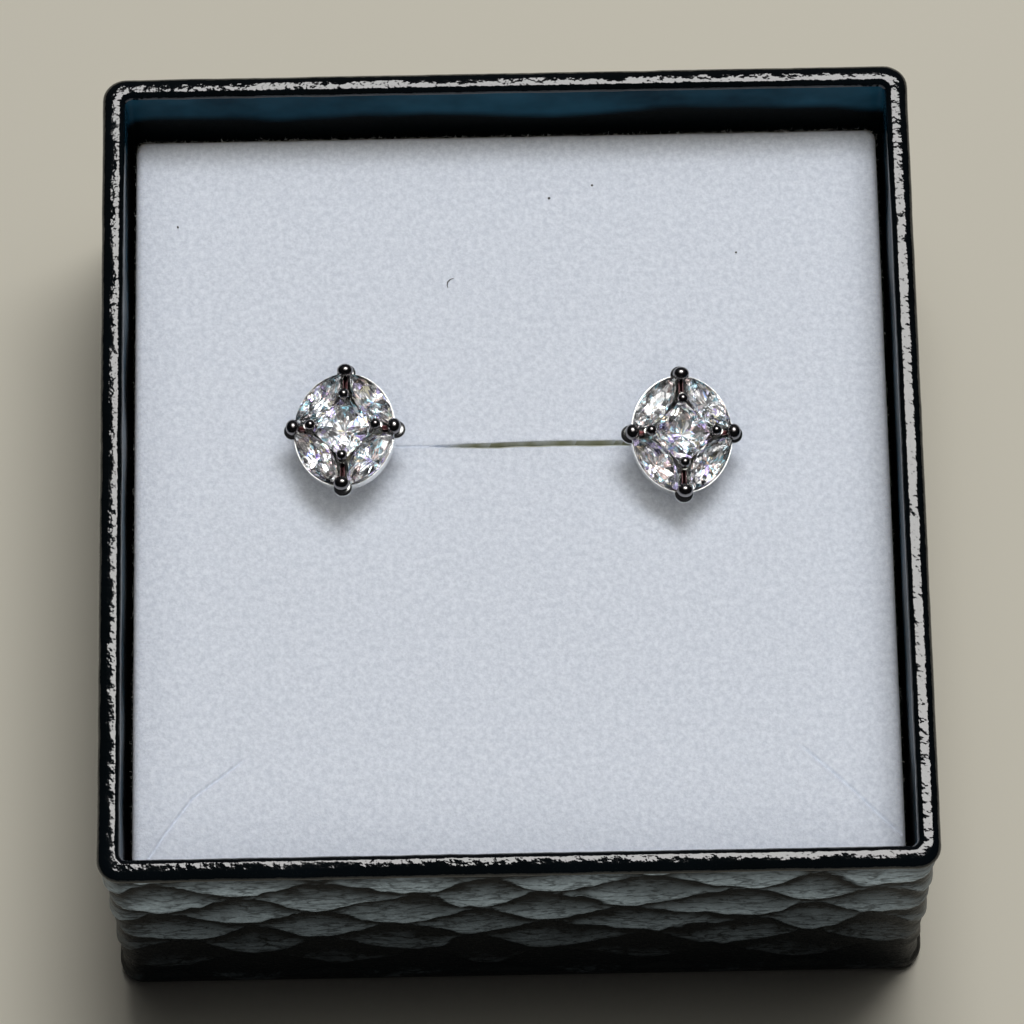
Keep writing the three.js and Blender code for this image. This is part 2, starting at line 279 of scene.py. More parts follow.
def circle_angles(count):
    return np.linspace(0, 2 * math.pi, count, endpoint=False)


def half_sizes(node):
    """Half the width and depth of a solid's box, and its bottom and top, in mm."""
    low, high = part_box(node)
    return (high.x - low.x) / 2 / MM, (high.y - low.y) / 2 / MM, low.z / MM, high.z / MM


def piece_from(name, points, faces, material, smooth=True):
    """An object from points in metres."""
    mesh = bpy.data.meshes.new(name)
    mesh.from_pydata(np.asarray(points).tolist(), [], faces)
    mesh.polygons.foreach_set("use_smooth", [smooth] * len(mesh.polygons))
    mesh.materials.append(material)
    mesh.update()
    piece = bpy.data.objects.new(name, mesh)
    show(piece)
    return piece


def loft(rings):
    """Points and faces of a closed surface through rings of equal length, with both ends capped."""
    rings = np.asarray(rings)
    count, around = rings.shape[:2]
    step = np.arange(around)
    following = (step + 1) % around
    faces = []
    for row in range(count - 1):
        low = row * around
        high = low + around
        quads = np.stack([low + step, low + following, high + following, high + step], axis=1)
        faces.extend(quads.tolist())
    points = np.concatenate([rings.reshape(-1, 3), rings[0].mean(0)[None], rings[-1].mean(0)[None]])
    first = count * around
    last = (count - 1) * around
    faces.extend([first, int(b), int(a)] for a, b in zip(step, following))
    faces.extend([first + 1, int(last + a), int(last + b)] for a, b in zip(step, following))
    return points, faces


def merged(parts):
    """One list of points and faces from several."""
    points = []
    faces = []
    start = 0
    for part_points, part_faces in parts:
        points.append(np.asarray(part_points))
        faces.extend([index + start for index in face] for face in part_faces)
        start += len(part_points)
    return np.concatenate(points), faces


def rounded_ring(half_width, half_depth, radius, side_steps, corner_steps):
    """Points round a rounded rectangle from its right side on, with their outward directions."""
    corners = ((1, 1), (-1, 1), (-1, -1), (1, -1))
    arcs = []
    for quarter, (side, end) in enumerate(corners):
        angles = (quarter + np.linspace(0, 1, corner_steps + 1)) * math.pi / 2
        outward = np.stack([np.cos(angles), np.sin(angles)], axis=1)
        middle = np.array([side * (half_width - radius), end * (half_depth - radius)])
        arcs.append((middle + radius * outward, outward))
    places = []
    normals = []
    for quarter in range(4):
        arc, outward = arcs[quarter]
        next_start = arcs[(quarter + 1) % 4][0][0]
        share = np.linspace(0, 1, side_steps + 1)[1:-1, None]
        places.extend([arc, arc[-1] + (next_start - arc[-1]) * share])
        normals.extend([outward, np.repeat(outward[-1:], side_steps - 1, axis=0)])
    return np.concatenate(places), np.concatenate(normals)


def set_point_values(piece, name, values):
    """A number for each point of the mesh, and 0 for the points past the end of the list."""
    padded = np.zeros(len(piece.data.vertices))
    padded[: len(values)] = values
    attribute = piece.data.attributes.new(name, "FLOAT", "POINT")
    attribute.data.foreach_set("value", padded)


def value_noise(x, y, seed, wrap=None):
    """Smooth random heights from -1 to 1 on a lattice of whole numbers."""
    size = 512
    table = np.random.default_rng(seed).uniform(-1, 1, (size, size))
    across = np.floor(x).astype(int)
    along = np.floor(y).astype(int)
    share_x = x - across
    share_y = y - along
    share_x = share_x * share_x * (3 - 2 * share_x)
    share_y = share_y * share_y * (3 - 2 * share_y)
    period = wrap or size
    low, high = across % period, (across + 1) % period
    near, far = along % size, (along + 1) % size
    bottom = table[low, near] * (1 - share_x) + table[high, near] * share_x
    top = table[low, far] * (1 - share_x) + table[high, far] * share_x
    return bottom * (1 - share_y) + top * share_y


def smooth_step(low, high, value):
    share = np.clip((value - low) / (high - low), 0, 1)
    return share * share * (3 - 2 * share)


# Materials

def new_material(name, **inputs):
    """A material with a Principled shader, and its node tree."""
    material = bpy.data.materials.new(name)
    material.use_nodes = True
    shader = material.node_tree.nodes["Principled BSDF"]
    for label, value in inputs.items():
        shader.inputs[label.replace("_", " ")].default_value = value
    return material, material.node_tree, shader


def paint(tree, shader, colour):
    tree.links.new(colour, shader.inputs["Base Color"])


def texture_place(tree):
    return tree.nodes.new("ShaderNodeTexCoord").outputs["Object"]


def noise_texture(tree, place, scale, detail=3.0, roughness=0.55):
    node = tree.nodes.new("ShaderNodeTexNoise")
    node.inputs["Scale"].default_value = scale
    node.inputs["Detail"].default_value = detail
    node.inputs["Roughness"].default_value = roughness
    tree.links.new(place, node.inputs["Vector"])
    return node.outputs["Fac"]


def ramp(tree, value, stops):
    """A colour ramp of (place, colour) stops."""
    node = tree.nodes.new("ShaderNodeValToRGB")
    elements = node.color_ramp.elements
    for index, (place, colour) in enumerate(stops):
        element = elements[index] if index < 2 else elements.new(place)
        element.position = place
        element.color = colour
    tree.links.new(value, node.inputs["Fac"])
    return node.outputs["Color"]


def map_range(tree, value, low, high, new_low, new_high):
    node = tree.nodes.new("ShaderNodeMapRange")
    for label, number in (("From Min", low), ("From Max", high), ("To Min", new_low), ("To Max", new_high)):
        node.inputs[label].default_value = number
    tree.links.new(value, node.inputs["Value"])
    return node.outputs["Result"]


def attribute(tree, name):
    node = tree.nodes.new("ShaderNodeAttribute")
    node.attribute_name = name
    return node.outputs


def mixed(tree, share, first, second):
    """The first colour where the share is 0, and the plain second colour where it is 1."""
    node = tree.nodes.new("ShaderNodeMix")
    node.data_type = "RGBA"
    tree.links.new(share, node.inputs[0])
    tree.links.new(first, node.inputs[6])
    node.inputs[7].default_value = second
    return node.outputs[2]


def product(tree, first, second):
    node = tree.nodes.new("ShaderNodeMath")
    node.operation = "MULTIPLY"
    tree.links.new(first, node.inputs[0])
    tree.links.new(second, node.inputs[1])
    return node.outputs["Value"]


def bump(tree, shader, height, distance, strength):
    node = tree.nodes.new("ShaderNodeBump")
    node.inputs["Distance"].default_value = distance
    node.inputs["Strength"].default_value = strength
    tree.links.new(height, node.inputs["Height"])
    tree.links.new(node.outputs["Normal"], shader.inputs["Normal"])
    return node


def grey(value):
    return (value, value, value, 1.0)


def satin_paper_material():
    """Embossed outside of the box: painted shade darkens its creases and a painted sheen lightens the
    lenses between them.
    """
    material, tree, shader = new_material("leather_paper_satin")
    shader.inputs["IOR"].default_value = 1.18
    place = texture_place(tree)
    grain = noise_texture(tree, place, 3000, 4, 0.7)
    tree.links.new(map_range(tree, grain, 0.3, 0.7, 0.26, 0.4), shader.inputs["Roughness"])
    lying = tree.nodes.new("ShaderNodeMapping")
    lying.inputs["Scale"].default_value = (1.0, 1.0, 3.0)
    tree.links.new(place, lying.inputs["Vector"])
    vein = noise_texture(tree, lying.outputs["Vector"], 330, 3, 0.6)
    crack = ramp(tree, vein, ((0.455, grey(1.0)), (0.5, grey(0.4)), (0.545, grey(1.0))))
    cracked = product(tree, attribute(tree, "relief")["Fac"], crack)
    speckled = product(tree, cracked, map_range(tree, grain, 0.3, 0.7, 0.72, 1.28))
    # Painted shade in the creases and a painted sheen on the lens shoulders, set by the relief.
    shade = ramp(tree, speckled, ((0.04, SATIN_CREASE_SHADE), (0.3, SATIN_MIDDLE), (0.8, SATIN_LENS_SHEEN)))
    paint(tree, shader, shade)
    coarse = tree.nodes.new("ShaderNodeBump")
    coarse.inputs["Distance"].default_value = 0.05 * MM
    coarse.inputs["Strength"].default_value = 0.6
    tree.links.new(crack, coarse.inputs["Height"])
    fine = bump(tree, shader, grain, 0.05 * MM, 0.9)
    tree.links.new(coarse.outputs["Normal"], fine.inputs["Normal"])
    return material


def glossy_paper_material(name, ior, dark, pale, low_roughness, high_roughness):
    """Smooth black paper over the rim and inside, and its cloudy colour."""
    material, tree, shader = new_material(name)
    shader.inputs["IOR"].default_value = ior
    broad = noise_texture(tree, texture_place(tree), 180, 3)
    rough = map_range(tree, broad, 0.3, 0.7, low_roughness, high_roughness)
    tree.links.new(rough, shader.inputs["Roughness"])
    return material, tree, shader, ramp(tree, broad, ((0.3, dark), (0.7, pale)))


def rim_material():
    """Paper pulled over the rim, with fine wrinkles that break up its gloss."""
    material, tree, shader, colour = glossy_paper_material(
        "leather_paper_rim", 1.5, RIM_DARK, RIM_PALE, 0.06, 0.1
    )
    paint(tree, shader, colour)
    bump(tree, shader, noise_texture(tree, texture_place(tree), 1700, 2, 0.5), 0.05 * MM, 0.9)
    return material


def lining_material():
    """Blue-black paper inside: its blue is partly a painted reflection of the pad, and painted shade
    darkens it towards the pad along a wavy line.
    """
    material, tree, shader, colour = glossy_paper_material(
        "leather_paper_lining", 1.06, LINING_DARK, LINING_PALE, 0.1, 0.2
    )
    bump(tree, shader, noise_texture(tree, texture_place(tree), 1500, 3, 0.6), 0.02 * MM, 0.4)
    # Painted shade towards the pad over the blue colour.
    darkened = mixed(tree, attribute(tree, "depth")["Fac"], colour, LINING_PAINTED_SHADE)
    paint(tree, shader, darkened)
    return material


def flock_material():
    """Pale flock over cream foam: a dark olive foam colour shows where the surface goes down into a slit,
    partly the foam's own and partly painted shade.
    """
    material, tree, shader = new_material("flocked_foam", Roughness=1.0)
    shader.inputs["Specular IOR Level"].default_value = 0.15
    shader.inputs["Sheen Weight"].default_value = 0.25
    shader.inputs["Sheen Roughness"].default_value = 0.6
    place = texture_place(tree)
    mottle = noise_texture(tree, place, 2600, 4, 0.8)
    fine = noise_texture(tree, place, 5200, 4, 0.65)
    shade = ramp(tree, mottle, ((0.36, FLOCK_DARK), (0.64, FLOCK_PALE)))
    bare = mixed(tree, attribute(tree, "foam")["Fac"], shade, FOAM_AND_SLIT_SHADE_COLOUR)
    paint(tree, shader, bare)
    bump(tree, shader, fine, 0.08 * MM, 0.7)
    return material


def thread_material(name, roughness, dark, pale):
    """Matt grey for the flock's loose fibres and for lint."""
    material, tree, shader = new_material(name, Roughness=roughness)
    cloud = noise_texture(tree, texture_place(tree), 900)
    tone = ramp(tree, cloud, ((0.3, grey(dark)), (0.7, grey(pale))))
    paint(tree, shader, tone)
    return material


def silver_material(name, tones, roughness):
    material, tree, shader = new_material(name, Metallic=1.0)
    cloud = noise_texture(tree, texture_place(tree), 900, 3)
    colour = ramp(tree, cloud, tuple(zip((0.3, 0.7), tones)))
    paint(tree, shader, colour)
    rough = map_range(tree, cloud, 0.3, 0.7, *roughness)
    tree.links.new(rough, shader.inputs["Roughness"])
    return material


def crystal_material():
    inputs = {"Roughness": 0.0, "IOR": 1.5, "Transmission_Weight": 1.0}
    return new_material("crystal", **inputs)[0]


def crystal_back_material():
    """The facets below the girdle, which throw the light back up, each with a painted flash: clear, grey
    for dark glints or coloured for fire.
    """
    material, tree, shader = new_material("crystal_back", Roughness=0.14, Metallic=1.0)
    paint(tree, shader, attribute(tree, "painted_flash")["Color"])
    return material


def floor_material():
    material, tree, shader = new_material("pale_floor", Roughness=0.8)
    place = texture_place(tree)
    shade = noise_texture(tree, place, 6, 2)
    soft = tuple(part * 0.96 for part in FLOOR_COLOUR[:3]) + (1,)
    paint(tree, shader, ramp(tree, shade, ((0.3, soft), (0.7, FLOOR_COLOUR))))
    return material


# Camera, light and floor

def add_camera():
    back = Vector((0, -math.cos(CAMERA_ELEVATION), math.sin(CAMERA_ELEVATION)))
    right = Vector((1, 0, 0))
    above = back.cross(right)
    across = math.cos(CAMERA_ROLL) * right + math.sin(CAMERA_ROLL) * above
    upward = math.cos(CAMERA_ROLL) * above - math.sin(CAMERA_ROLL) * right
    data = bpy.data.cameras.new("camera")
    data.sensor_width = SENSOR_WIDTH
    data.lens = CAMERA_FOCAL_PIXELS * SENSOR_WIDTH / FRAME_PIXELS
    data.clip_start = 10 * MM
    data.clip_end = 10.0
    camera = bpy.data.objects.new("camera", data)
    turn = Matrix((across, upward, back)).transposed().to_4x4()
    camera.matrix_world = Matrix.Translation(CAMERA_TARGET + back * CAMERA_DISTANCE) @ turn
    show(camera)
    bpy.context.scene.camera = camera


def add_lamp(name, way, spread, radiance, reaches, target, receivers):
    """An oval lamp facing the target: for everything, for matt reflection or for some pieces alone."""
    way = Vector(way).normalized()
    across, along = (LAMP_DISTANCE * math.tan(math.radians(angle)) for angle in spread)
    data = bpy.data.lights.new(name, "AREA")
    data.shape = "ELLIPSE"
    data.size = 2 * across
    data.size_y = 2 * along
    data.color = FILL_COLOUR if reaches == "pad" else LAMP_COLOUR
    data.energy = radiance * math.pi * math.pi * across * along
    light = bpy.data.objects.new(name, data)
    light.location = target + way * LAMP_DISTANCE
    light.rotation_euler = way.to_track_quat("Z", "Y").to_euler()
    if reaches in ("matt", "tray"):
        light.visible_glossy = False
        light.visible_transmission = False
    if reaches in receivers:
        light.light_linking.receiver_collection = receivers[reaches]
    show(light)


def add_room():
    """A dim room, lighter behind the box than in front of it."""
    world = bpy.data.worlds.new("room")
    world.use_nodes = True
    tree = world.node_tree
    background = tree.nodes["Background"]
    place = tree.nodes.new("ShaderNodeTexCoord").outputs["Generated"]
    apart = tree.nodes.new("ShaderNodeSeparateXYZ")
    tree.links.new(place, apart.inputs["Vector"])
    shade = ramp(tree, apart.outputs["Y"], ((0.3, ROOM_FRONT), (0.8, ROOM_BACK)))
    tree.links.new(shade, background.inputs["Color"])
    bpy.context.scene.world = world


def add_floor(height):
    half = FLOOR_SIZE / 2
    points = [(-half, -half, height), (half, -half, height), (half, half, height), (-half, half, height)]
    floor = piece_from("floor", points, [[0, 1, 2, 3]], floor_material())


# Tray

def lens_relief(along, height):
    """Overlapping lenses between wavy creases, from -1 at a crease to 0 on a lens's lower edge."""
    row = height / LENS_PITCH
    drift = value_noise(along * 30, row * 0.7, 12, 30)
    phase = along * 2 * math.pi * LENS_COUNT + LENS_DRIFT * drift
    swing = LENS_PINCH / 2 * np.cos(phase)
    row = row + CREASE_WAVE * value_noise(along * 84, row * 1.3, 11, 84)
    row = row + CREASE_WOBBLE * value_noise(along * 300, row * 4, 13, 300)
    relief = np.full(np.broadcast(phase, row).shape, -1.0)
    lowest = int(math.floor(row.min())) - 1
    highest = int(math.ceil(row.max())) + 1
    for crease in range(lowest, highest):
        sign = 1 if crease % 2 == 0 else -1
        below = crease + sign * swing
        above = crease + 1 - sign * swing
        gap = np.maximum(above - below, 1e-3)
        share = (row - below) / gap
        inside = (share > 0) & (share < 1)
        bulge = np.clip(share, 0, 1) ** LENS_BULGE_POWER * smooth_step(1.0, LENS_LOWER_EDGE, share)
        lens = -1 + bulge * np.sqrt(np.clip(gap / 2, 0, 1))
        relief = np.where(inside, np.maximum(relief, lens), relief)
    return relief


def tray_rows(height):
    """Rows from the middle of the underside, up the outside, over the rim and down to the floor.
    Each is an inset, a height, the outward and upward parts of its normal, and its kind."""
    quarter = math.pi / 2
    rows = [(TRAY_CAP_INSET, 0.0, 0.0, -1.0, "foot"), (TRAY_FOOT_ROUND, 0.0, 0.0, -1.0, "foot")]
    for angle in np.linspace(-quarter, 0, 5)[1:]:
        out, rise = math.cos(angle), math.sin(angle)
        rows.append((TRAY_FOOT_ROUND * (1 - out), TRAY_FOOT_ROUND * (1 + rise), out, rise, "wall"))
    wall_top = height - RIM_OUTER_ROUND
    for level in np.linspace(TRAY_FOOT_ROUND, wall_top, TRAY_WALL_ROWS)[1:]:
        rows.append((0.0, level, 1.0, 0.0, "wall"))
    for angle in np.linspace(0, quarter, 8)[1:]:
        out, rise = math.cos(angle), math.sin(angle)
        rows.append((RIM_OUTER_ROUND * (1 - out), wall_top + RIM_OUTER_ROUND * rise, out, rise, "rim"))
    inner_start = TRAY_WALL - RIM_INNER_ROUND
    rows.append(((RIM_OUTER_ROUND + inner_start) / 2, height, 0.0, 1.0, "rim"))
    for angle in np.linspace(quarter, 2 * quarter, 7):
        out, rise = math.cos(angle), math.sin(angle)
        inset = inner_start - RIM_INNER_ROUND * out
        rows.append((inset, height - RIM_INNER_ROUND * (1 - rise), out, rise, "rim"))
    inner_top = height - RIM_INNER_ROUND
    deep = half_sizes("pad")[3] - TRAY_LIP_DEPTH
    for level in np.linspace(inner_top, deep, TRAY_INNER_ROWS)[1:]:
        rows.append((TRAY_WALL, level, -1.0, 0.0, "inside"))
    rows.append((TRAY_WALL, TRAY_FLOOR, -1.0, 0.0, "inside"))
    rows.append((TRAY_WALL + TRAY_CAP_INSET, TRAY_FLOOR, 0.0, 1.0, "inside"))
    return rows


def build_tray():
    half_width, half_depth, _, height = half_sizes("box_tray")
    outer, _ = rounded_ring(half_width, half_depth, TRAY_CORNER, TRAY_SIDE_STEPS, TRAY_CORNER_STEPS)
    lengths = np.linalg.norm(np.diff(outer, axis=0, append=outer[:1]), axis=1)
    along = np.concatenate([[0], np.cumsum(lengths)[:-1]]) / lengths.sum()
    level_ring = np.ones(len(along))
    rings = []
    shaded_reliefs = []
    lining_shades = []
    materials = []
    for inset, level, out, rise, kind in tray_rows(height):
        radius = TRAY_CORNER + (TRAY_INNER_CORNER - TRAY_CORNER) * min(inset / TRAY_WALL, 1)
        places, normals = rounded_ring(
            half_width - inset, half_depth - inset, radius, TRAY_SIDE_STEPS, TRAY_CORNER_STEPS
        )
        push = np.zeros(len(places))
        relief = np.full(len(places), -1.0)
        if kind == "wall":
            below_top = height - EMBOSS_TOP - level
            fade = smooth_step(0, EMBOSS_TOP_FADE, below_top)
            fade *= smooth_step(0, EMBOSS_FOOT_FADE, level - EMBOSS_FOOT)
            relief = lens_relief(along, level_ring * below_top)
            push = EMBOSS_DEPTH * relief * fade - SKIN_INSET
        if kind == "rim":
            arc = level_ring * (inset * 1.4 + level)
            coarse = value_noise(along * 140, arc * 1.1, 5, 140)
            fine = value_noise(along * 400, arc * 1.7, 6, 400)
            push = RIM_WRINKLE * (0.6 * coarse + 0.4 * fine - 1) * 0.5
        if kind == "inside":
            broad = value_noise(along * 44, level_ring * level / 3.2, 7, 44)
            push = INNER_WAVE * (broad - 1) * 0.5
        ring = np.zeros((len(places), 3))
        ring[:, :2] = places + normals * (out * push)[:, None]
        ring[:, 2] = level + rise * push
        rings.append(ring * MM)
        # Painted shade: the relief that sets the wall's colour dims towards the foot.
        light = PAINTED_SHADE_FLOOR + (1 - PAINTED_SHADE_FLOOR) * smooth_step(PAINTED_SHADE_LOW, PAINTED_SHADE_HIGH, level)
        shaded_reliefs.append((relief + 1) * light)
        materials.append(max(TRAY_MATERIALS[kind], int(level >= height - EMBOSS_TOP)))
        # Painted shade: below a wavy line the lining fades to its darkest colour towards the pad.
        wander = LINING_WANDER * value_noise(along * 26, level_ring * 0, 8, 26)
        wander += LINING_WOBBLE * value_noise(along * 80, level_ring * 0, 9, 80)
        lining_shades.append(smooth_step(LINING_BAND, LINING_BAND + LINING_FADE, height - level + wander))
    points, faces = loft(rings)
    tray = piece_from("tray_skin", points, faces, satin_paper_material())
    tray.data.materials.append(rim_material())
    tray.data.materials.append(lining_material())
    set_point_values(tray, "relief", np.concatenate(shaded_reliefs))
    set_point_values(tray, "depth", np.concatenate(lining_shades))
    by_face = np.zeros(len(tray.data.polygons), int)
    by_row = np.repeat(materials[1:], len(along))
    by_face[: len(by_row)] = by_row
    by_face[len(by_row) + len(along) :] = materials[-1]
    tray.data.polygons.foreach_set("material_index", by_face)
    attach(tray, "root")
    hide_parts("box_tray")
    return tray


# Pad

def line_places(low, high, dense_spans):
    """Grid lines from low to high, closer together inside each dense span (low, high, step)."""
    places = [low]
    while places[-1] < high - 1e-6:
        here = places[-1]
        step = PAD_STEP
        for start, end, fine in dense_spans:
            if start - fine <= here < end:
                step = min(step, fine)
            elif here < start:
                step = min(step, max(start - here, fine))
        places.append(min(here + step, high))
    if places[-1] - places[-2] < 0.02:
        places.pop(-2)
    return np.array(places)


def round_corners(x, y, half_width, half_depth):
    """Moves the grid's points in at the plan corners so that its outline has round corners."""
    a = np.clip(np.abs(x) - (half_width - PAD_CORNER_REACH), 0, None)
    b = np.clip(np.abs(y) - (half_depth - PAD_CORNER_REACH), 0, None)
    far = np.maximum(a, b)
    length = np.hypot(a, b)
    safe = np.where(length > 0, length, 1)
    ux, uy = a / safe, b / safe
    square = PAD_CORNER_REACH / np.maximum(np.maximum(ux, uy), 1e-6)
    inset = PAD_CORNER_REACH - PAD_CORNER
    along = inset * (ux + uy)
    arc = along + np.sqrt(np.maximum(along * along - 2 * inset * inset + PAD_CORNER * PAD_CORNER, 0))
    straight = np.minimum(PAD_CORNER_REACH / np.maximum(ux, 1e-6), PAD_CORNER_REACH / np.maximum(uy, 1e-6))
    in_arc = (arc * ux > inset) & (arc * uy > inset)
    reach = np.where(in_arc, arc, straight)
    share = np.where((a > 0) & (b > 0), reach / square, 1)
    blend = 1 - (1 - share) * (far / PAD_CORNER_REACH) ** 2
    moved_x = np.sign(x) * (np.abs(x) - a + a * blend)
    moved_y = np.sign(y) * (np.abs(y) - b + b * blend)
    return moved_x, moved_y


def edge_distance(x, y, half_width, half_depth):
    """Distance inward from the pad's rounded outline."""
    a = np.abs(x) - (half_width - PAD_CORNER)
    b = np.abs(y) - (half_depth - PAD_CORNER)
    outside = np.hypot(np.maximum(a, 0), np.maximum(b, 0))
    return PAD_CORNER - outside - np.minimum(np.maximum(a, b), 0)


def distance_to_line(x, y, line):
    """Distance to a line of points, the side it lies on, and the share of the way along it."""
    best = np.full(x.shape, 1e9)
    side = np.zeros(x.shape)
    share = np.zeros(x.shape)
    spans = [math.dist(a, b) for a, b in zip(line, line[1:])]
    start = 0.0
    for (ax, ay), (bx, by), span in zip(line, line[1:], spans):
        dx, dy = (bx - ax) / span, (by - ay) / span
        raw = (x - ax) * dx + (y - ay) * dy
        t = np.clip(raw, 0, span)
        away = np.hypot(x - ax - t * dx, y - ay - t * dy)
        closer = away < best
        best = np.where(closer, away, best)
        side = np.where(closer, np.sign((x - ax) * dy - (y - ay) * dx), side)
        share = np.where(closer, (start + t) / sum(spans), share)
        start += span
    return best, side, share


def post_slit_line(x):
    """The post slit's middle line, slightly wavy."""
    return POST_SLIT_Y + 0.03 * np.sin(x * 0.55) + 0.012 * np.sin(x * 2.1 + 1)


def pad_height(x, y, top, half_width, half_depth, posts):
    """Height of the pad's top, and how far each point lies in bare foam."""
    z = np.full(x.shape, top)
    foam = np.zeros(x.shape)
    inward = np.clip(edge_distance(x, y, half_width, half_depth), 0, PAD_EDGE_ROUND)
    z -= PAD_EDGE_ROUND - np.sqrt(np.maximum(PAD_EDGE_ROUND**2 - (PAD_EDGE_ROUND - inward) ** 2, 0))
    z += PAD_FLOCK_WAVE * 0.5 * (value_noise(x * 0.55 + 90, y * 0.55 + 90, 21) - 1)
    z += PAD_FLOCK_WAVE * 0.4 * (value_noise(x * 2.4 + 90, y * 2.4 + 90, 22) - 1)
    left, right = posts[0][0], posts[1][0]
    span = (x - left) / (right - left)
    across = y - post_slit_line(x)
    away = np.abs(across)
    half_open = POST_SLIT_HALF_WIDTH * smooth_step(*POST_SLIT_OPENS, span)
    half_open *= 1 + 0.18 * value_noise(x * 1.6 + 40, y * 0, 23)
    between = (span > 0) & (span < 1)
    lip = POST_SLIT_LIP * np.exp(-(((away - half_open - 0.22) / 0.2) ** 2))
    fall_width = np.where(across < 0, 0.12, 0.03)
    fall = -POST_SLIT_FALL * np.exp(-((np.maximum(away - half_open, 0) / fall_width) ** 2))
    z += np.where(between, lip + fall, 0)
    z = np.where(between & (away < half_open), top - POST_SLIT_DEPTH, z)
    fade = np.where(across < 0, 0.2, 0.04)
    # The foam colour also reaches onto the slit's front lip, where its darkness is partly painted shade.
    bare = smooth_step(half_open + fade, half_open, away) * smooth_step(*POST_SLIT_BARE, span)
    foam = np.where(between, bare, foam)
    for line in CORNER_SLITS:
        away, side, share = distance_to_line(x, y, line)
        fade = smooth_step(0, 0.12, share)
        raised = CORNER_SLIT_LIP * np.exp(-(((away - 0.13) / 0.1) ** 2)) * (0.6 + 0.4 * side)
        groove = CORNER_SLIT_DEPTH * np.exp(-((away / CORNER_SLIT_WIDTH) ** 2))
        z += (raised - groove) * fade
    for post_x, post_y in posts:
        away = np.hypot(x - post_x, y - post_y)
        z -= POST_DIMPLE * np.exp(-(((away - POST_RADIUS) / POST_DIMPLE_WIDTH) ** 2)) * (away > POST_RADIUS)
    return z, foam


def cutter_along(origin, axis, profile):
    """A turned solid along an axis, from rows of radius and place along it."""
    axis = np.asarray(axis)
    across = np.cross(axis, (0, 1, 0))
    across /= np.linalg.norm(across)
    third = np.cross(axis, across)
    angles = circle_angles(40)[:, None]
    round_it = np.cos(angles) * across + np.sin(angles) * third
    return loft([origin + axis * place + round_it * radius for radius, place in profile])


def cut_passages(pad, studs):
    """Cuts each post's hole and the pocket for its back out of the pad."""
    parts = []
    for origin, turn in studs:
        hole = POST_RADIUS + PASSAGE_CLEARANCE
        profile = (
            (POCKET_RADIUS, -20), (POCKET_RADIUS, -PAD_WEB), (hole, -PAD_WEB), (hole, 1.0)
        )
        parts.append(cutter_along(np.array(origin), turn[:, 2], profile))
    points, faces = merged(parts)
    cutter = piece_from("cutter", points * MM, faces, pad.data.materials[0])
    modifier = pad.modifiers.new("passages", "BOOLEAN")
    modifier.operation = "DIFFERENCE"
    modifier.solver = "EXACT"
    modifier.object = cutter
    apply_modifiers(pad)
    bpy.data.objects.remove(cutter)


def apply_modifiers(piece):
    bpy.context.view_layer.update()
    graph = bpy.context.evaluated_depsgraph_get()
    mesh = bpy.data.meshes.new_from_object(piece.evaluated_get(graph))
    piece.modifiers.clear()
    piece.data = mesh


def build_pad(studs):
    half_width, half_depth, bottom, top = half_sizes("pad")
    posts = [(origin[0], origin[1]) for origin, _ in studs]
    near_posts = [(post[0] - 0.9, post[0] + 0.9, 0.12) for post in posts]
    corner = [(-half_width, -16.5, PAD_DETAIL_STEP), (17.2, half_width, PAD_DETAIL_STEP)]
    lines_x = line_places(-half_width, half_width, corner + near_posts)
    slit_rows = (POST_SLIT_Y - 0.4, POST_SLIT_Y + 0.36, 0.03)
    around_slit = (POST_SLIT_Y - 0.9, POST_SLIT_Y + 0.9, 0.12)
    front = (-half_depth, -16.5, PAD_DETAIL_STEP)
    lines_y = line_places(-half_depth, half_depth, [front, around_slit, slit_rows])
    x, y = np.meshgrid(lines_x, lines_y, indexing="ij")
    x, y = round_corners(x, y, half_width, half_depth)
    z, foam = pad_height(x, y, top, half_width, half_depth, posts)
    columns, rows = x.shape
    index = np.arange(columns * rows).reshape(columns, rows)
    quads = np.stack([index[:-1, :-1], index[1:, :-1], index[1:, 1:], index[:-1, 1:]], axis=-1)
    faces = quads.reshape(-1, 4).tolist()
    border = np.concatenate([index[:-1, 0], index[-1, :-1], index[:0:-1, -1], index[0, :0:-1]])
    surface = np.stack([x.ravel(), y.ravel(), z.ravel()], axis=1)
    rim = surface[border]
    rings = []
    for level, inset in ((top - PAD_EDGE_ROUND - 0.6, 0.0), (bottom + 0.4, 0.0), (bottom, 0.4)):
        ring = rim.copy()
        ring[:, 0] *= 1 - inset / half_width
        ring[:, 1] *= 1 - inset / half_depth
        ring[:, 2] = level
        rings.append(ring)
    points = [surface]
    above = border
    start = len(surface)
    for ring in rings:
        below = np.arange(len(ring)) + start
        shifted_below = np.roll(below, -1)
        shifted_above = np.roll(above, -1)
        faces.extend(np.stack([below, shifted_below, shifted_above, above], axis=1).tolist())
        points.append(ring)
        above = below
        start += len(ring)
    points.append(rings[-1].mean(0)[None])
    faces.extend([start, int(b), int(a)] for a, b in zip(above, np.roll(above, -1)))
    pad = piece_from("flocked_pad", np.concatenate(points) * MM, faces, flock_material())
    set_point_values(pad, "foam", foam.ravel())
    cut_passages(pad, studs)
    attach(pad, "root")
    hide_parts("pad")
    return pad


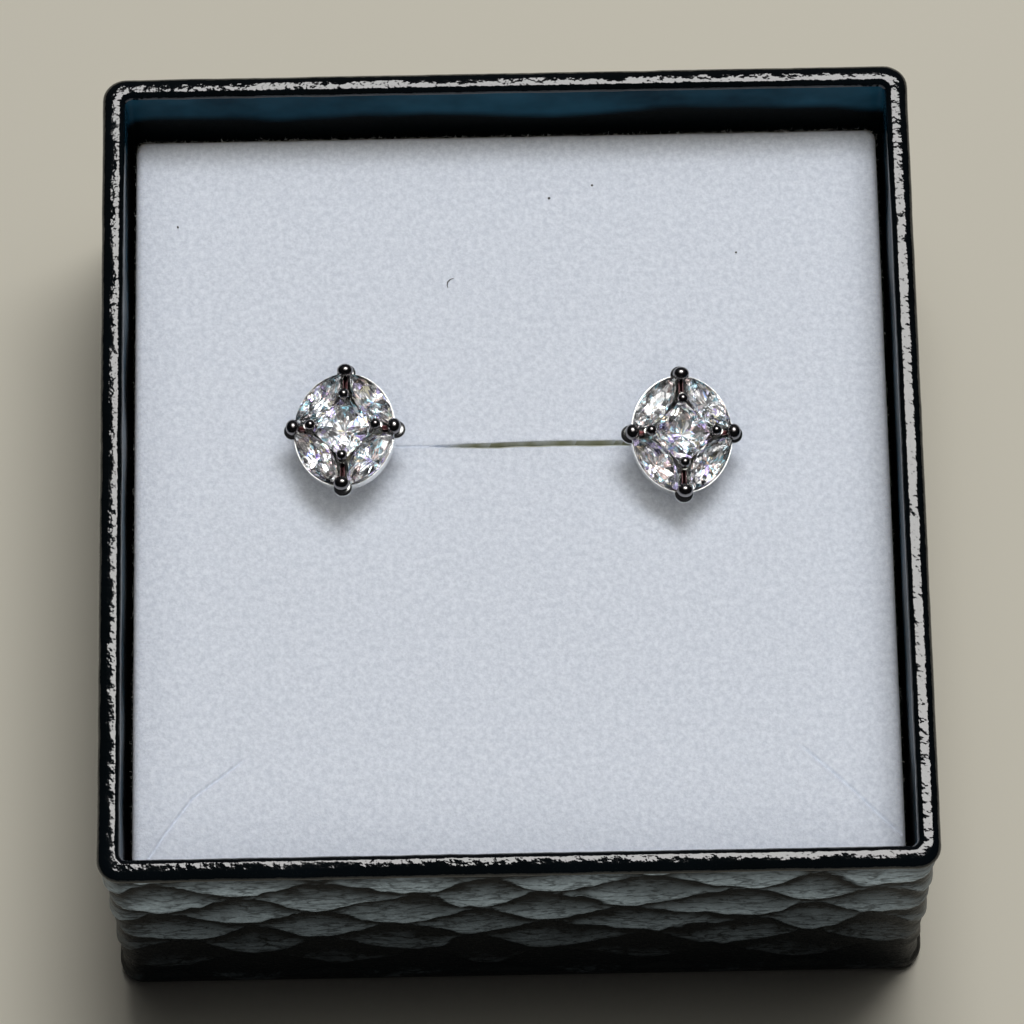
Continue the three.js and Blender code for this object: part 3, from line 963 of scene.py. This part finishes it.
def build_fibres():
    """Short loose flock fibres along the pad's edges, as thin three-sided spikes."""
    half_width, half_depth, _, top = half_sizes("pad")
    random = np.random.default_rng(3)
    ring, outward = rounded_ring(half_width, half_depth, PAD_CORNER, 400, 20)
    parts = []
    for _ in range(FIBRE_COUNT):
        pick = random.integers(len(ring))
        lean = random.uniform(0, math.pi / 2)
        out, rise = math.cos(lean), math.sin(lean)
        inset = PAD_EDGE_ROUND * (1 - out)
        foot = np.append(ring[pick] - outward[pick] * inset, top - PAD_EDGE_ROUND * (1 - rise))
        foot[:2] += random.normal(0, FIBRE_SCATTER, 2)
        way = np.append(outward[pick] * out, rise) + random.normal(0, FIBRE_TANGLE, 3)
        way /= np.linalg.norm(way)
        foot -= way * FIBRE_ROOT
        tip = foot + way * FIBRE_LENGTH * random.uniform(0.5, 1.0)
        side = np.cross(way, UP if abs(way[2]) < 0.9 else (1, 0, 0))
        side /= np.linalg.norm(side)
        third = np.cross(way, side)
        base = [foot + FIBRE_RADIUS * (math.cos(a) * side + math.sin(a) * third) for a in (0, 2.1, 4.2)]
        parts.append((np.array(base + [tip]), [[0, 2, 1], [0, 1, 3], [1, 2, 3], [2, 0, 3]]))
    points, faces = merged(parts)
    fibres = piece_from("pad_fibres", points * MM, faces, thread_material("flock_fibre", 0.9, 0.72, 0.9))
    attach(fibres, "root")
    return fibres


def build_lint():
    """A short bent hair and a few dark specks that lie on the pad."""
    top = half_sizes("pad")[3]
    random = np.random.default_rng(9)
    along = np.linspace(-1, 1, 13)
    start, end = (np.array(place) for place in HAIR_ENDS)
    sideways = np.array([end[1] - start[1], start[0] - end[0]]) * HAIR_BEND
    angles = circle_angles(6)
    rings = []
    for share in along:
        middle = start + (end - start) * (share + 1) / 2 + sideways * (1 - share * share)
        radius = HAIR_RADIUS * (0.3 + 0.7 * math.sqrt(max(1 - share * share, 0)))
        across = (end - start) / np.linalg.norm(end - start)
        ring = np.zeros((len(angles), 3))
        ring[:, 0] = middle[0] + np.cos(angles) * radius * across[1]
        ring[:, 1] = middle[1] - np.cos(angles) * radius * across[0]
        ring[:, 2] = top + radius * np.sin(angles)
        rings.append(ring)
    parts = [loft(rings)]
    for place in SPECKS:
        size = random.uniform(0.7, 1.0) * SPECK_RADIUS
        angles = np.linspace(0.1, math.pi - 0.1, 7)
        profile = [(size * math.sin(a), -0.5 * size * math.cos(a)) for a in angles]
        speck = turned(profile, 9, (1.0, random.uniform(0.6, 1.0)))
        parts.append(moved(speck, (place[0], place[1], top), random.uniform(0, math.pi)))
    points, faces = merged(parts)
    lint = piece_from("pad_lint", points * MM, faces, thread_material("lint", 0.8, 0.05, 0.11))
    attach(lint, "root")
    return lint


# Studs

def centre_of(solid):
    """The middle of a solid's corners, in mm."""
    mesh = solid.data
    places = np.zeros(len(mesh.vertices) * 3)
    mesh.vertices.foreach_get("co", places)
    return np.unique(np.round(places.reshape(-1, 3) / MM, 4), axis=0).mean(0)


def stud_frame(side, solids):
    """Where a stud's post enters the pad, and its turn as a matrix of columns."""
    stone = centre_of(solids[f"{side}_centre_stone"])
    nut = centre_of(solids[f"{side}_ear_nut"])
    axis = stone - nut
    axis /= np.linalg.norm(axis)
    corners = [centre_of(solids[f"{side}_marquise_{i}"]) for i in (1, 2, 3, 4)]
    across = corners[0] + corners[3] - corners[1] - corners[2]
    across -= axis * (across @ axis)
    across /= np.linalg.norm(across)
    top = half_sizes("pad")[3]
    origin = stone - axis * ((stone[2] - top) / axis[2])
    return origin, np.stack([across, np.cross(axis, across), axis], axis=1)


def turned(profile, sides=40, stretch=(1.0, 1.0)):
    """A closed form turned about Z, from rows of radius and height."""
    angles = circle_angles(sides)
    circle = np.stack([np.cos(angles) * stretch[0], np.sin(angles) * stretch[1]], axis=1)
    rings = []
    for radius, height in profile:
        ring = np.zeros((sides, 3))
        ring[:, :2] = circle * radius
        ring[:, 2] = height
        rings.append(ring)
    return loft(rings)


def smooth_rows(rows, count=6):
    """More rows on a smooth curve through the given ones."""
    rows = np.asarray(rows, float)
    padded = np.concatenate([[2 * rows[0] - rows[1]], rows, [2 * rows[-1] - rows[-2]]])
    result = []
    for i in range(1, len(padded) - 2):
        before, start, end, after = padded[i - 1 : i + 3]
        for t in np.linspace(0, 1, count, endpoint=False):
            result.append(
                0.5 * (2 * start + (end - before) * t
                + (2 * before - 5 * start + 4 * end - after) * t**2
                + (3 * start - before - 3 * end + after) * t**3)
            )
    result.append(rows[-1])
    return result


def basket():
    """The bowl, with a seat cut inside its rim for the stones."""
    rim = CLUSTER_HALF_WIDTH + BASKET_OVERHANG
    outer = [(reach * rim, share * BASKET_HEIGHT) for reach, share in BASKET_SECTIONS]
    outer.append((rim, BASKET_HEIGHT))
    inside = BASKET_HEIGHT - BASKET_SEAT_DROP - BASKET_FLOOR
    inner = [(reach * rim - BASKET_WALL, BASKET_FLOOR + share * inside) for reach, share in BASKET_SECTIONS]
    seat = [(rim - 0.05, BASKET_HEIGHT), (rim - BASKET_WALL, BASKET_HEIGHT - BASKET_SEAT_DROP)]
    profile = [(0.02, 0), (BASKET_FOOT, 0)]
    profile += smooth_rows([(BASKET_FOOT, 0)] + outer)[1:]
    profile += seat
    profile += smooth_rows(inner[::-1] + [(BASKET_FOOT - BASKET_WALL, BASKET_FLOOR)])
    profile += [(0.02, BASKET_FLOOR)]
    return turned(profile, BASKET_SIDES, (1.0, CLUSTER_HALF_DEPTH / CLUSTER_HALF_WIDTH))


def bead(radius, stretch, sideways):
    rows = [
        (radius * math.sin(a), -radius * math.cos(a)) for a in np.linspace(0.02, math.pi - 0.02, 22)
    ]
    return turned(rows, 36, (stretch, 1.0) if sideways else (1.0, stretch))


def claw(reach):
    """The outer prong along X: a cone up the bowl, a cup for the bead and a neck inside it."""
    neck_start = CLAW_TOP + 0.35
    rows = [
        (CLAW_FOOT, CLAW_FOOT_HEIGHT),
        (CLAW_FOOT + 0.16, CLAW_FOOT_HEIGHT + 0.4),
        (CLAW_RADIUS - 0.09, CLAW_TOP - 0.45),
        (CLAW_RADIUS, CLAW_TOP),
        (CLAW_RADIUS - 0.04, CLAW_TOP + 0.16),
        (OUTER_PRONG, neck_start),
        (OUTER_PRONG, OUTER_BEAD_HEIGHT),
    ]
    points, faces = turned([(0.02, CLAW_FOOT_HEIGHT - 0.04)] + smooth_rows(rows), 36)
    top = reach + CLAW_OVERHANG
    foot = reach * CLAW_FOOT_REACH
    share = np.clip((points[:, 2] - CLAW_FOOT_HEIGHT) / (CLAW_TOP - CLAW_FOOT_HEIGHT), 0, 1)
    settle = np.clip((points[:, 2] - CLAW_TOP) / (OUTER_BEAD_HEIGHT - CLAW_TOP), 0, 1)
    points[:, 0] += foot + (top - foot) * share - (CLAW_OVERHANG - BEAD_OVERHANG) * settle
    return points, faces


def pin(radius, low, high, edge=0.04):
    return turned([(0.01, low), (radius - edge, low), (radius, low + edge), (radius, high)], 28)


def bridge(length):
    """A bar along X with a deep, dark groove between two thin bright edges; the bar's darker silver adds a
    painted dark reflection.
    """
    half = BRIDGE_WIDTH / 2
    section = [
        (-half, BRIDGE_TOP - BRIDGE_DEPTH),
        (half, BRIDGE_TOP - BRIDGE_DEPTH),
        (half, BRIDGE_TOP - 0.02),
        (half - 0.02, BRIDGE_TOP),
        (half - BRIDGE_EDGE, BRIDGE_TOP),
        (0.0, BRIDGE_TOP - BRIDGE_GROOVE),
        (BRIDGE_EDGE - half, BRIDGE_TOP),
        (0.02 - half, BRIDGE_TOP),
        (-half, BRIDGE_TOP - 0.02),
    ]
    return loft([[(x, y, z) for y, z in section] for x in np.linspace(0, length, 5)])


def moved(part, offset=(0, 0, 0), turn=0.0):
    points, faces = part
    c, s = math.cos(turn), math.sin(turn)
    spin = np.array([[c, -s, 0], [s, c, 0], [0, 0, 1]])
    return np.asarray(points) @ spin.T + np.asarray(offset), faces


def prongs(quarter):
    """Outer claw, beads, inner prong and bridge on one side: (form, silver kind) pairs, plain silver or the
    darker bead and bridge silver with painted dark reflections.
    """
    turn = quarter * math.pi / 2
    way = np.array([math.cos(turn), math.sin(turn), 0]).round()
    at_end = quarter % 2 == 1
    reach = CLUSTER_HALF_DEPTH if at_end else CLUSTER_HALF_WIDTH
    outer_bead = bead(OUTER_BEAD, OUTER_BEAD_STRETCH, at_end)
    inner_bead = bead(INNER_BEAD, 1.0, at_end)
    inner_pin = pin(INNER_PRONG, BASKET_FLOOR / 2, INNER_BEAD_HEIGHT - INNER_BEAD / 2)
    bar_length = reach - INNER_PRONG_REACH
    return [
        (moved(claw(reach), turn=turn), 0),
        (moved(outer_bead, way * (reach + BEAD_OVERHANG) + UP * OUTER_BEAD_HEIGHT), 1),
        (moved(inner_pin, way * INNER_PRONG_REACH), 0),
        (moved(inner_bead, way * INNER_BEAD_REACH + UP * INNER_BEAD_HEIGHT), 1),
        (moved(bridge(bar_length), way * INNER_PRONG_REACH, turn), 2),
    ]


def build_setting(side, frame, silver, bead_silver_painted_dark, groove_silver_painted_dark):
    origin, turn = frame
    forms = [(basket(), 0)]
    for quarter in range(4):
        forms += prongs(quarter)
    forms = [(moved(form, (0, 0, BASKET_LIFT)), kind) for form, kind in forms]
    top = BASKET_LIFT + BASKET_FLOOR / 2
    tip = POST_TIP - POST_LENGTH
    post = turned([(POST_TIP_RADIUS, -POST_LENGTH), (POST_RADIUS, tip), (POST_RADIUS, top)], 32)
    forms.append((post, 0))
    points, faces = merged([form for form, _ in forms])
    setting = piece_from(f"{side}_setting_fine", (origin + points @ turn.T) * MM, faces, silver)
    setting.data.materials.append(bead_silver_painted_dark)
    setting.data.materials.append(groove_silver_painted_dark)
    kinds = [kind for form, kind in forms for _ in form[1]]
    setting.data.polygons.foreach_set("material_index", kinds)
    setting.data.set_sharp_from_angle(angle=SHARP_ANGLE)
    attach(setting, "root")
    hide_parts(f"{side}_setting")
    return setting


def strip(low, high, count, shift):
    """Faces between two rings: quads, or triangles where the higher ring is half a step on."""
    faces = []
    for i in range(count):
        j = (i + 1) % count
        if shift == 0:
            faces.append([low + i, low + j, high + j, high + i])
        elif shift > 0:
            faces += [[low + i, low + j, high + i], [low + j, high + j, high + i]]
        else:
            faces += [[low + i, high + j, high + i], [low + i, low + j, high + j]]
    return faces


def cut_stone(outline, centre, crown, pavilion, table, lift, random):
    """A stone with a table, rows of crown facets, a girdle and uneven rows of facets below it.
    Gives its points, its faces and how many of the faces lie above the pavilion."""
    outline = np.asarray(outline)
    between = (outline + np.roll(outline, -1, axis=0)) / 2
    rows = [
        (outline, table, crown, 0.0),
        (between, table + (1 - table) * 0.36, crown * 0.8, 0.3),
        (outline, table + (1 - table) * 0.72, crown * 0.46, 0.3),
        (outline, 1.0, GIRDLE / 2, 0.0),
        (outline, 1.0, -GIRDLE / 2, 0.0),
        (between, 0.86, -pavilion * 0.2, 0.7),
        (outline, 0.68, -pavilion * 0.42, 1.2),
        (between, 0.46, -pavilion * 0.66, 1.5),
        (outline, 0.24, -pavilion * 0.82, 1.5),
    ]
    count = len(outline)
    points = []
    for ring, share, height, loose in rows:
        shares = share + loose * random.uniform(-FACET_SPREAD, FACET_SPREAD, (count, 1))
        places = centre + (ring - centre) * shares
        heights = height + loose * random.uniform(-FACET_DEPTH, FACET_DEPTH, count)
        points += [(x, y, lift(np.array((x, y))) + up) for (x, y), up in zip(places, heights)]
    points.append((*centre, lift(centre) - pavilion))
    faces = [list(range(count))]
    shifts = (1, -1, 0, 0, 1, -1, 1, -1)
    for row, shift in enumerate(shifts):
        if row == 4:
            above = len(faces)
        faces += strip(row * count, (row + 1) * count, count, shift)
    last = (len(rows) - 1) * count
    faces += [[last + i, last + (i + 1) % count, len(points) - 1] for i in range(count)]
    return points, faces, above


def centre_outline():
    """The square stone's outline, turned so that its cut corners point to the prongs."""
    corner = math.sqrt(2) * CENTRE_HALF_SIDE
    cut = corner - CENTRE_CORNER_REACH
    outline = []
    for quarter in range(4):
        turn = quarter * math.pi / 2
        c, s = math.cos(turn), math.sin(turn)
        half = CENTRE_HALF_SIDE * math.sqrt(0.5)
        third = (CENTRE_CORNER_REACH * 2 / 3 + cut / 3, cut * 2 / 3 + CENTRE_CORNER_REACH / 3)
        corner_ends = [(CENTRE_CORNER_REACH, -cut), (CENTRE_CORNER_REACH, cut)]
        for x, y in corner_ends + [third, (half, half), third[::-1]]:
            outline.append((x * c - y * s, x * s + y * c))
    return outline


def marquise_outline(sign_x, sign_y):
    """The pointed stone's outline: the cluster's curve outside, a flatter curve inside."""
    start = math.asin(MARQUISE_TIP_OFFSET / CLUSTER_HALF_DEPTH)
    end = math.acos(MARQUISE_TIP_OFFSET / CLUSTER_HALF_WIDTH)
    angles = np.linspace(start, end, MARQUISE_STEPS + 1)
    outer = np.stack([CLUSTER_HALF_WIDTH * np.cos(angles), CLUSTER_HALF_DEPTH * np.sin(angles)], axis=1)
    side_tip, end_tip = outer[0], outer[-1]
    inward = math.sqrt(0.5)
    tip_reach = (side_tip.sum() + end_tip.sum()) * inward
    line = (8 * (CENTRE_HALF_SIDE + STONE_GAP) - tip_reach) / 6 * math.sqrt(2)
    controls = (end_tip, np.array((0.1, 0.9)) * line, np.array((0.9, 0.1)) * line, side_tip)
    t = np.linspace(0, 1, MARQUISE_STEPS + 1)[:, None]
    weights = ((1 - t) ** 3, 3 * t * (1 - t) ** 2, 3 * t**2 * (1 - t), t**3)
    inner = sum(weight * control for weight, control in zip(weights, controls))
    outline = np.concatenate([outer[:-1], inner[:-1]]) * (sign_x, sign_y)
    middle = MARQUISE_STEPS // 2
    centre = (outer[middle] + inner[middle]) / 2 * (sign_x, sign_y)
    return outline, centre


def paint_facet_flashes(mesh, above, random):
    """Gives each facet below the girdle a painted flash: mostly clear, some grey for dark glints, a few
    coloured for fire.
    """
    shares = np.array([share for _, share in FACET_PAINTED_FLASHES])
    picks = random.choice(len(FACET_PAINTED_FLASHES), len(mesh.polygons), p=shares / shares.sum())
    picks[:above] = 0
    colours = np.array([colour + (1.0,) for colour, _ in FACET_PAINTED_FLASHES])[picks]
    attribute = mesh.color_attributes.new("painted_flash", "FLOAT_COLOR", "CORNER")
    corners = np.repeat(colours, [polygon.loop_total for polygon in mesh.polygons], axis=0)
    attribute.data.foreach_set("color", corners.ravel())


def build_stone(name, stone, frame, crystals, random):
    points, faces, above = stone
    origin, turn = frame
    places = (np.asarray(points) + (0, 0, BASKET_LIFT)) @ turn.T + origin
    cut = piece_from(f"{name}_cut", places * MM, faces, crystals[0], smooth=False)
    cut.data.materials.append(crystals[1])
    backs = np.arange(len(faces)) >= above
    cut.data.polygons.foreach_set("material_index", backs.astype(int))
    shell = bmesh.new()
    shell.from_mesh(cut.data)
    bmesh.ops.recalc_face_normals(shell, faces=shell.faces[:])
    shell.to_mesh(cut.data)
    shell.free()
    paint_facet_flashes(cut.data, above, random)
    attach(cut, "root")
    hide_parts(name)
    return cut


def build_stones(side, frame, crystals, seed):
    random = np.random.default_rng(seed)
    middle = np.zeros(2)
    centre_sizes = (CENTRE_CROWN, CENTRE_PAVILION, CENTRE_TABLE)
    centre_stone = cut_stone(centre_outline(), middle, *centre_sizes, lambda place: CENTRE_GIRDLE, random)
    stones = [build_stone(f"{side}_centre_stone", centre_stone, frame, crystals, random)]
    for number, (sign_x, sign_y) in enumerate(((1, 1), (-1, 1), (-1, -1), (1, -1)), start=1):
        outline, centre = marquise_outline(sign_x, sign_y)
        outward = centre / np.linalg.norm(centre)

        def lift(place):
            return MARQUISE_GIRDLE - math.tan(MARQUISE_TILT) * ((place - centre) @ outward)

        stone = cut_stone(outline, centre, MARQUISE_CROWN, MARQUISE_PAVILION, MARQUISE_TABLE, lift, random)
        stones.append(build_stone(f"{side}_marquise_{number}", stone, frame, crystals, random))
    return stones


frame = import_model()
solids = frame["nodes"]

add_camera()
receivers = {name: bpy.data.collections.new(name) for name in ("tray", "pad", "jewels", "stones")}
for lamp in LAMPS:
    add_lamp(*lamp, Vector((0, 0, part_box("pad")[1].z)), receivers)
add_room()
add_floor(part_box("box_tray")[0].z)

studs = {side: stud_frame(side, solids) for side in ("left", "right")}
receivers["tray"].objects.link(build_tray())
receivers["pad"].objects.link(build_pad([studs["left"], studs["right"]]))
receivers["pad"].objects.link(build_fibres())
receivers["pad"].objects.link(build_lint())
silver = silver_material("silver", SILVER_TONES, SILVER_ROUGHNESS)
# Darker copies of the silver: painted dark reflections on the beads and a painted reddish one on the bars.
bead_silver_painted_dark = silver_material("bead_silver_painted_dark", BEAD_PAINTED_DARK_TONES, BEAD_ROUGHNESS)
groove_silver_painted_dark = silver_material("groove_silver_painted_dark", GROOVE_PAINTED_REFLECTION_TONES, GROOVE_ROUGHNESS)
crystals = (crystal_material(), crystal_back_material())
for seed, side in ((100, "left"), (200, "right")):
    setting = build_setting(side, studs[side], silver, bead_silver_painted_dark, groove_silver_painted_dark)
    stones = build_stones(side, studs[side], crystals, seed)
    for piece in [setting] + stones:
        receivers["jewels"].objects.link(piece)
    for piece in stones:
        receivers["stones"].objects.link(piece)
    nut = solids[f"{side}_ear_nut"]
    nut.data.materials.clear()
    nut.data.materials.append(silver)

scene = bpy.context.scene
scene.view_settings.view_transform = "Standard"
scene.view_settings.look = "None"
